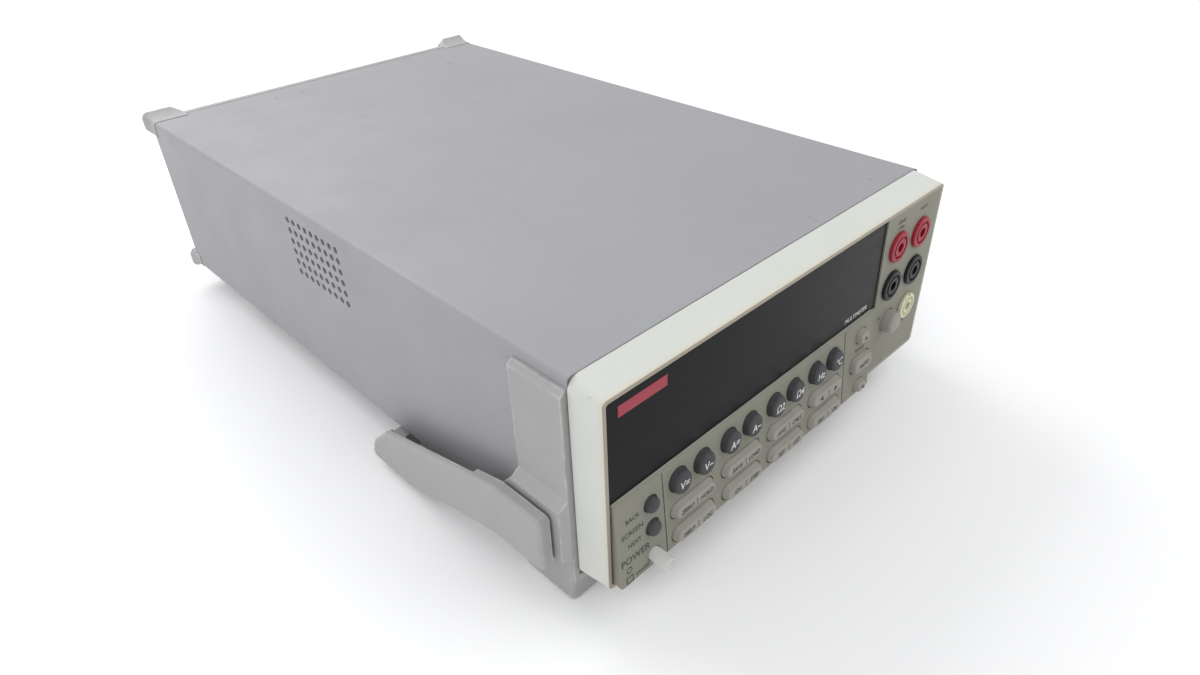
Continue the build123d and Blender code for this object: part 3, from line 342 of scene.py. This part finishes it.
def board_green():
    """Circuit board: solder mask over a pattern of tracks."""
    paint = Paint("circuit_board").base((0.015, 0.10, 0.035))
    tracks = paint.node("ShaderNodeTexVoronoi", distance="MANHATTAN")
    tracks.inputs["Scale"].default_value = 260
    paint.link(paint.where, tracks.inputs["Vector"])
    mask = paint.band(tracks.outputs["Distance"], 0.30, 0.34)
    paint.tint(mask, (0.03, 0.19, 0.07), 0.8)
    paint.bump(mask, 0.03, 0.5)
    return paint.finish(roughness=0.35, rough_value=paint.band(paint.noise(60), 0.3, 0.7, 0.28, 0.42))


def display_glass():
    """Dark display glass with a faint grid of unlit segments."""
    paint = Paint("tube_glass").base((0.05, 0.06, 0.06))
    grid = paint.node("ShaderNodeTexVoronoi", distance="CHEBYCHEV")
    grid.inputs["Scale"].default_value = 400
    paint.link(paint.where, grid.inputs["Vector"])
    paint.tint(paint.band(grid.outputs["Distance"], 0.35, 0.45), (0.10, 0.12, 0.12), 0.6)
    shine = paint.band(paint.noise(80), 0.3, 0.7, 0.08, 0.18)
    return paint.finish(rough_value=shine)


def make_materials():
    """Every material by the record's slot name, with a few for printing and marks."""
    # Edge colours lighter than their base colours are painted highlights along the rounded edges, with
    # some wear.
    return {
        "case_paint": painted_case(),
        "bezel_plastic": bezel_paint(),
        "panel_plastic": moulded("panel_plastic", (0.245, 0.243, 0.195), 0.62, 0.03, 0.05,
                                 edge=(0.33, 0.33, 0.28), edge_strength=0.6, specular=0.35),
        "smoked_window": window_acrylic(),
        "grey_plastic": moulded("grey_plastic", (0.375, 0.372, 0.372), 0.55, 0.03, 0.05,
                                edge=(0.62, 0.62, 0.61), edge_strength=0.65, edge_width=1.3),
        "dark_key_plastic": moulded("dark_key_plastic", (0.050, 0.051, 0.056), 0.50, 0.02, 0.08,
                                    edge=(0.09, 0.09, 0.095), edge_strength=0.4, specular=0.35),
        "panel_key_plastic": moulded("panel_key_plastic", (0.315, 0.300, 0.262), 0.55, 0.02, 0.05,
                                     edge=(0.40, 0.38, 0.34), edge_strength=0.5, specular=0.35),
        "light_grey_plastic": moulded("light_grey_plastic", (0.60, 0.60, 0.56), 0.42, 0.01, 0.04),
        "red_plastic": moulded("red_plastic", (0.31, 0.014, 0.032), 0.42, 0.01, 0.08,
                               edge=(0.40, 0.05, 0.07), edge_strength=0.2, specular=0.3),
        "black_plastic": moulded("black_plastic", (0.012, 0.012, 0.014), 0.42, 0.01, 0.08,
                                 edge=(0.04, 0.04, 0.04), edge_strength=0.2, specular=0.25),
        "cream_plastic": moulded("cream_plastic", (0.68, 0.67, 0.48), 0.50, 0.01, 0.06,
                                 edge=(0.40, 0.38, 0.26), edge_strength=0.4),
        "winding_tape": moulded("winding_tape", (0.55, 0.42, 0.07), 0.4, 0.02, 0.08),
        "zinc_sheet": sheet_metal("zinc_sheet", (0.62, 0.61, 0.57)),
        "nickel_brass": sheet_metal("nickel_brass", (0.72, 0.66, 0.50), 0.25),
        "connector_metal": sheet_metal("connector_metal", (0.66, 0.66, 0.65), 0.30),
        "core_steel": sheet_metal("core_steel", (0.16, 0.15, 0.14), 0.55, (60, 1, 1)),
        "capacitor_can": sheet_metal("capacitor_can", (0.55, 0.55, 0.58), 0.35),
        "elastomer": rubber("elastomer", (0.22, 0.21, 0.17)),
        "pad_rubber": rubber("pad_rubber", (0.03, 0.03, 0.03)),
        "circuit_board": board_green(),
        "tube_glass": display_glass(),
        "ink_black": moulded("ink_black", (0.03, 0.03, 0.03), 0.6, 0.0, 0.1, edge=None),
        "ink_white": moulded("ink_white", (0.72, 0.74, 0.72), 0.6, 0.0, 0.1, edge=None),
        "badge_red": moulded("badge_red", (0.36, 0.03, 0.05), 0.45, 0.01, 0.1, edge=None),
    }


def dress_cad(materials):
    """Gives every CAD node the material of its slot."""
    slots = {part["node"]: part["material_slot"] for part in frame["record"]["subparts"]}
    for node, piece in frame["nodes"].items():
        piece.data.materials.clear()
        piece.data.materials.append(materials[slots[node]])


# ---- Finely modelled pieces --------------------------------------------------------------------
BLOCK_TOP, BLOCK_LOW = 42.0, 4.3
BLOCK_TOP_FACE, BLOCK_LOW_FACE = -0.9, -4.5
BLOCK_LEAN = (BLOCK_TOP_FACE - BLOCK_LOW_FACE) / (BLOCK_TOP - BLOCK_LOW)


def block_face(z):
    """Front surface of the key panel at height z, in millimetres."""
    return BLOCK_TOP_FACE - (BLOCK_TOP - z) * BLOCK_LEAN


def flat_face(z):
    """Front surface of the input panel."""
    return 0.0


def stadium(width, height, count=48):
    """Points round a rectangle with fully rounded ends, as x and z from its middle."""
    radius = min(width, height) / 2
    reach_x, reach_z = width / 2 - radius, height / 2 - radius
    points = []
    for index in range(count):
        angle = 2 * math.pi * (index + 0.5) / count
        x, z = radius * math.cos(angle), radius * math.sin(angle)
        points.append((x + math.copysign(reach_x, x), z + math.copysign(reach_z, z)))
    return points


def rounded(width, height, radius, count=48):
    """Points round a rectangle with rounded corners."""
    points = []
    for index in range(count):
        angle = 2 * math.pi * (index + 0.5) / count
        x, z = radius * math.cos(angle), radius * math.sin(angle)
        points.append((x + math.copysign(width / 2 - radius, x),
                       z + math.copysign(height / 2 - radius, z)))
    return points


def add_mesh(name, mesh, material, body):
    """Puts a finished mesh in the scene as a piece that moves with a body."""
    piece = bpy.data.objects.new(name, mesh)
    bpy.context.scene.collection.objects.link(piece)
    mesh.materials.append(material)
    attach(piece, body)
    return piece


def ringed(name, centre, rings, face, material, body, node=None):
    """A key or button lofted through outlines.

    Each ring is (outline points, how far it stands in front of the face); the last is the tip.
    """
    x0, z0 = centre
    work = bmesh.new()
    rows = []
    for outline, proud in rings:
        rows.append([work.verts.new(spot(x0 + x, face(z0 + z) - proud, z0 + z)) for x, z in outline])
    count = len(rows[0])
    for lower, upper in zip(rows, rows[1:]):
        for index in range(count):
            after = (index + 1) % count
            work.faces.new((lower[index], lower[after], upper[after], upper[index]))
    work.faces.new(list(reversed(rows[0])))
    work.faces.new(rows[-1])
    bmesh.ops.recalc_face_normals(work, faces=work.faces)
    mesh = bpy.data.meshes.new(name)
    work.to_mesh(mesh)
    work.free()
    mesh.shade_smooth()
    piece = add_mesh(name, mesh, material, body)
    if node:
        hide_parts(node)
    return piece


def crowned(width, height, proud, edge, crown, taper=0.0, shape=stadium, depth=4.6):
    """Rings of a cap: straight or tapering sides, a rounded edge and a slightly domed face."""
    rings = [(shape(width, height), -depth), (shape(width, height), 0.0)]
    for share in (0.0, 0.35, 0.7):
        inset = taper * share
        rings.append((shape(width - 2 * inset, height - 2 * inset), (proud - edge) * max(share, 0.02)))
    for step in range(6):
        angle = math.pi / 2 * step / 5
        inset = taper + edge * (1 - math.cos(angle))
        rings.append((shape(width - 2 * inset, height - 2 * inset),
                      proud - edge + edge * math.sin(angle)))
    inset = taper + edge
    for share in (0.25, 0.5, 0.75, 0.93):
        scale_w = (width - 2 * inset) * (1 - share)
        scale_h = (height - 2 * inset) * (1 - share)
        rings.append((shape(scale_w, scale_h), proud + crown * (1 - (1 - share) ** 2)))
    return rings


FUNCTION_KEYS = (("dc_volts", "V="), ("ac_volts", "V~"), ("dc_current", "A="), ("ac_current", "A~"),
                 ("ohms_two_wire", "\u03a92"), ("ohms_four_wire", "\u03a94"), ("frequency", "Hz"),
                 ("temperature", "\u00b0C"))
ROCKER_LEGENDS = (("ZERO", "HOLD"), ("SAVE", "LOAD"), ("AVG", "CALC"), ("<", ">"),
                  ("HELP", "LOC"), ("CH", "STEP"), ("SET", "LIST"), ("ESC", "OK"))


def middle(node):
    """Middle of a CAD node as x and z in millimetres."""
    low, high = box_mm(node)
    return (low.x + high.x) / 2, (low.z + high.z) / 2


# ---- Printed legends ---------------------------------------------------------------------------
def printed(name, text, x, z, size, face, proud, material, body, shear=0.0, weight=0.0):
    """Text printed flat on a surface; x, z is the middle of its baseline."""
    curve = bpy.data.curves.new(name, "FONT")
    curve.body = text
    curve.size = size * MM
    curve.shear = shear
    curve.align_x = "CENTER"
    curve.resolution_u = 3
    curve.offset = weight * MM
    holder = bpy.data.objects.new(name + "_curve", curve)
    mesh = bpy.data.meshes.new_from_object(holder)
    bpy.data.objects.remove(holder)
    bpy.data.curves.remove(curve)
    lean = face(z) - face(z - 1.0)
    up = Vector((0, lean, 1.0)).normalized()
    right = Vector((1, 0, 0))
    out = right.cross(up)
    turn = Matrix((right, up, out)).transposed().to_4x4()
    mesh.transform(Matrix.Translation(spot(x, face(z) - proud - 0.05, z)) @ turn)
    mesh.name = name
    return add_mesh(name, mesh, material, body)


def plate(name, corners, face, proud, material, body):
    """A flat printed shape given by its corners in x and z."""
    mesh = bpy.data.meshes.new(name)
    points = [spot(x, face(z) - proud - 0.05, z) for x, z in corners]
    mesh.from_pydata(points, [], [tuple(range(len(points)))])
    return add_mesh(name, mesh, material, body)


def ring_mark(name, x, z, outer, inner, face, material, body):
    """A printed circle."""
    count = 28
    points, faces = [], []
    for index in range(count):
        angle = 2 * math.pi * index / count
        for radius in (outer, inner):
            px, pz = x + radius * math.cos(angle), z + radius * math.sin(angle)
            points.append(spot(px, face(pz) - 0.05, pz))
    for index in range(count):
        a, b = 2 * index, 2 * index + 1
        c, d = (2 * index + 3) % (2 * count), (2 * index + 2) % (2 * count)
        faces.append((a, b, c, d))
    mesh = bpy.data.meshes.new(name)
    mesh.from_pydata(points, [], faces)
    return add_mesh(name, mesh, material, body)


def bar(name, x0, z0, x1, z1, width, face, proud, material, body):
    """A printed line between two points."""
    along = Vector((x1 - x0, z1 - z0)).normalized() * width / 2
    across = Vector((-along.y, along.x))
    start, end = Vector((x0, z0)), Vector((x1, z1))
    corners = [start - across, end - across, end + across, start + across]
    return plate(name, [tuple(c) for c in corners], face, proud, material, body)


def add_function_keys(materials):
    """Dark domed keys with a white legend low on the face."""
    for key, legend in FUNCTION_KEYS:
        node = "key_" + key
        centre = middle(node)
        rings = crowned(9.4, 9.8, 3.0, 1.0, 0.12, taper=0.3)
        ringed(node + "_cap", centre, rings, block_face, materials["dark_key_plastic"], node,
               node)
        printed(node + "_legend", legend, centre[0] - 0.2, centre[1] - 1.6, 4.3, block_face, 3.13,
                materials["ink_white"], node, shear=0.22, weight=0.05)


def add_rockers(materials):
    """Pale two-way keys with a divider and a legend on each half."""
    index = 0
    for row in ("upper", "lower"):
        for column in range(1, 5):
            node = f"rocker_{row}_{column}"
            centre = middle(node)
            rings = crowned(23.4, 7.0, 2.5, 0.8, 0.12, taper=1.0)
            ringed(node + "_cap", centre, rings, block_face, materials["panel_key_plastic"], node,
                   node)
            for side, word in zip((-1, 1), ROCKER_LEGENDS[index]):
                mark_half(node, centre, side, word, materials["ink_black"])
            bar(node + "_divider", centre[0], centre[1] - 1.5, centre[0], centre[1] + 1.6, 0.35,
                block_face, 2.62, materials["ink_black"], node)
            index += 1


def mark_half(node, centre, side, word, ink):
    """The legend of one half of a rocker."""
    name = f"{node}_{'right' if side > 0 else 'left'}"
    x = centre[0] + side * 5.2
    if word in "<>":
        tip = x + side * 1.3
        back = x - side * 1.0
        plate(name, [(tip, centre[1]), (back, centre[1] + 1.2), (back, centre[1] - 1.2)],
              block_face, 2.62, ink, node)
        return
    printed(name, word, x, centre[1] - 0.95, 2.7, block_face, 2.62, ink, node, shear=0.2,
            weight=0.04)


def add_range_keys(materials):
    """Range up, auto and down keys."""
    sizes = {"up": (7.6, 6.4), "auto": (14.6, 7.6), "down": (7.6, 5.4)}
    for name, (width, height) in sizes.items():
        node = "key_range_" + name
        centre = middle(node)
        rings = crowned(width, height, 2.5, 0.9, 0.2, taper=0.5,
                        shape=lambda w, h: rounded(w, h, min(w, h) * 0.38))
        ringed(node + "_cap", centre, rings, block_face, materials["panel_key_plastic"], node,
               node)
        ink = materials["ink_black"]
        if name == "auto":
            printed(node + "_legend", "AUTO", centre[0], centre[1] - 0.95, 2.7, block_face, 2.75,
                    ink, node, shear=0.2, weight=0.04)
        else:
            rise = 1.0 if name == "up" else -1.0
            corners = [(centre[0] - 1.3, centre[1] - 0.7 * rise), (centre[0], centre[1] + 0.9 * rise),
                       (centre[0] + 1.3, centre[1] - 0.7 * rise)]
            plate(node + "_legend", corners, block_face, 2.72, ink, node)


def add_side_keys(materials):
    """Two small round keys at the left."""
    for name in ("upper", "lower"):
        node = "key_side_" + name
        rings = crowned(6.4, 6.4, 2.2, 1.1, 0.3, taper=0.2)
        ringed(node + "_cap", middle(node), rings, block_face, materials["dark_key_plastic"],
               node, node)


def add_buttons(materials):
    """Power button with a dished tip, and the domed input selector."""
    x, z = middle("power_button")
    rings = [(stadium(5.6, 5.6), -11.5), (stadium(5.6, 5.6), 0.0), (stadium(5.6, 5.6), 11.3)]
    for width, proud in ((5.5, 11.6), (5.25, 11.85), (4.9, 12.0), (4.55, 11.95), (4.2, 11.75),
                         (3.4, 11.35), (2.2, 11.1), (0.8, 11.0)):
        rings.append((stadium(width, width), proud))
    ringed("power_button_cap", (x, z), rings, flat_face, materials["light_grey_plastic"],
           "power_push", "power_button")
    x, z = middle("inputs_button")
    rings = crowned(10.8, 10.8, 5.0, 1.6, 0.4, taper=0.15, depth=6.0)
    ringed("inputs_button_cap", (x, z), rings, flat_face, materials["panel_key_plastic"],
           "inputs_push", "inputs_button")


def add_panel_legends(materials):
    """Generic words and marks printed on the panels and the window."""
    ink, slot = materials["ink_black"], "panel_plastic"
    words = (("BACK", -95.6, 31.4, 2.6), ("SCREEN", -96.2, 25.8, 3.0), ("NEXT", -95.6, 20.6, 2.6),
             ("POWER", -95.8, 14.2, 4.1), ("ON/OFF", -93.2, 6.4, 1.9), ("RANGE", 47.6, 27.2, 2.2))
    for text, x, z, size in words:
        name = "legend_" + text.lower().replace("/", "_")
        printed(name, text, x, z, size, block_face, 0.0, ink, "case", weight=0.03)
    ring_mark("legend_out", -99.4, 11.3, 1.4, 1.0, block_face, ink, "case")
    for index, (x0, z0, x1, z1) in enumerate(((-101.2, 5.6, -97.8, 5.6), (-101.0, 5.6, -101.0, 8.4),
                                              (-98.0, 5.6, -98.0, 8.4), (-101.2, 8.4, -97.8, 8.4))):
        bar(f"legend_in_{index}", x0, z0, x1, z1, 0.45, block_face, 0.0, ink, "case")
    inputs = (("SENSE", 70.9, 79.4, 2.3), ("4 WIRE", 70.9, 76.7, 1.7), ("INPUT", 90.0, 79.4, 2.3),
              ("HI", 80.5, 67.4, 2.0), ("LO", 80.5, 48.3, 2.0), ("F/R", 65.6, 33.0, 1.9),
              ("FUSE", 90.0, 20.6, 1.9))
    for text, x, z, size in inputs:
        name = "legend_" + text.lower().replace("/", "_").replace(" ", "_")
        printed(name, text, x, z, size, flat_face, 0.0, ink, "case", weight=0.02)

    def window_face(z):
        return 0.7
    plate("badge", [(-98.6, 76.3), (-76.2, 76.3), (-76.2, 80.8), (-98.6, 80.8)], window_face, 0.0,
          materials["badge_red"], "case")
    printed("legend_multimeter", "MULTIMETER", 44.6, 44.6, 3.0, window_face, 0.0,
            materials["ink_white"], "case", shear=0.2, weight=0.03)


def main():
    materials = make_materials()
    set_look()
    add_camera()
    add_floor()
    add_light()
    dress_cad(materials)
    add_function_keys(materials)
    add_rockers(materials)
    add_range_keys(materials)
    add_side_keys(materials)
    add_buttons(materials)
    add_panel_legends(materials)


main()
